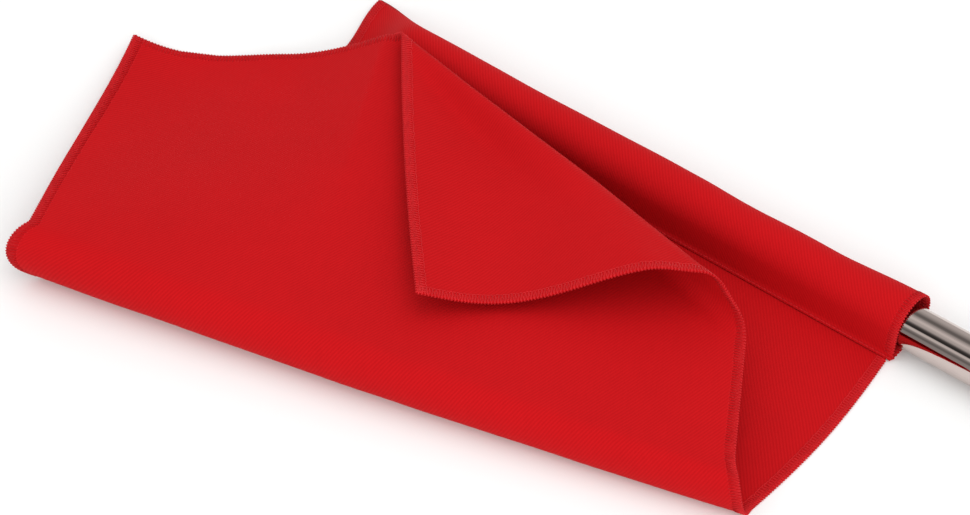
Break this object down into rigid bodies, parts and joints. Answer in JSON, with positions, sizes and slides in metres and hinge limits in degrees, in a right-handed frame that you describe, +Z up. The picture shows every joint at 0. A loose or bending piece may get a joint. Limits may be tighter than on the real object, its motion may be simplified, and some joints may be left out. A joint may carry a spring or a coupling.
{
  "type": "hand signal flag",
  "caption": "Hand signal flag: a red twill panel with a sewn sleeve slipped over a polished steel tube, lying folded back on itself and once more at one corner.",
  "frame": {"origin": "centre of the bounding box on the surface that the flag lies on", "axes": "+X along the pole from its tip to its butt, +Y from the panel towards the pole, +Z up from the surface that it lies on"},
  "size_m": [0.72, 0.2364, 0.0465],
  "materials": {
    "steel": "polished drawn stainless tube",
    "plastic": "fine satin moulded plastic",
    "cloth": "plain-dyed red cotton twill with a fine diagonal rib",
    "thread": "red spun sewing thread"
  },
  "bodies": {
    "pole": {"pole_tube": "steel", "tip_plug": "plastic", "butt_cap": "plastic"},
    "sleeve": {"pole_sleeve": "cloth", "sleeve_mouth_overlock": "thread", "sleeve_tip_stitching": "thread", "sleeve_seam_stitching": "thread"},
    "flag": {"flag_panel": "cloth", "tip_hem_overlock": "thread", "mouth_hem_overlock": "thread", "fly_hem_overlock": "thread"}
  },
  "joints": [
    {"name": "sleeve_slide", "type": "slide", "parent": "pole", "child": "sleeve", "axis": [-1, 0, 0], "range_m": [0, 0.268]},
    {"name": "panel_swing", "type": "hinge", "parent": "sleeve", "child": "flag", "pos_m": [-0.12, 0.07928, 0.00037], "axis": [-1, 0, 0], "range_deg": [0, 20]}
  ]
}
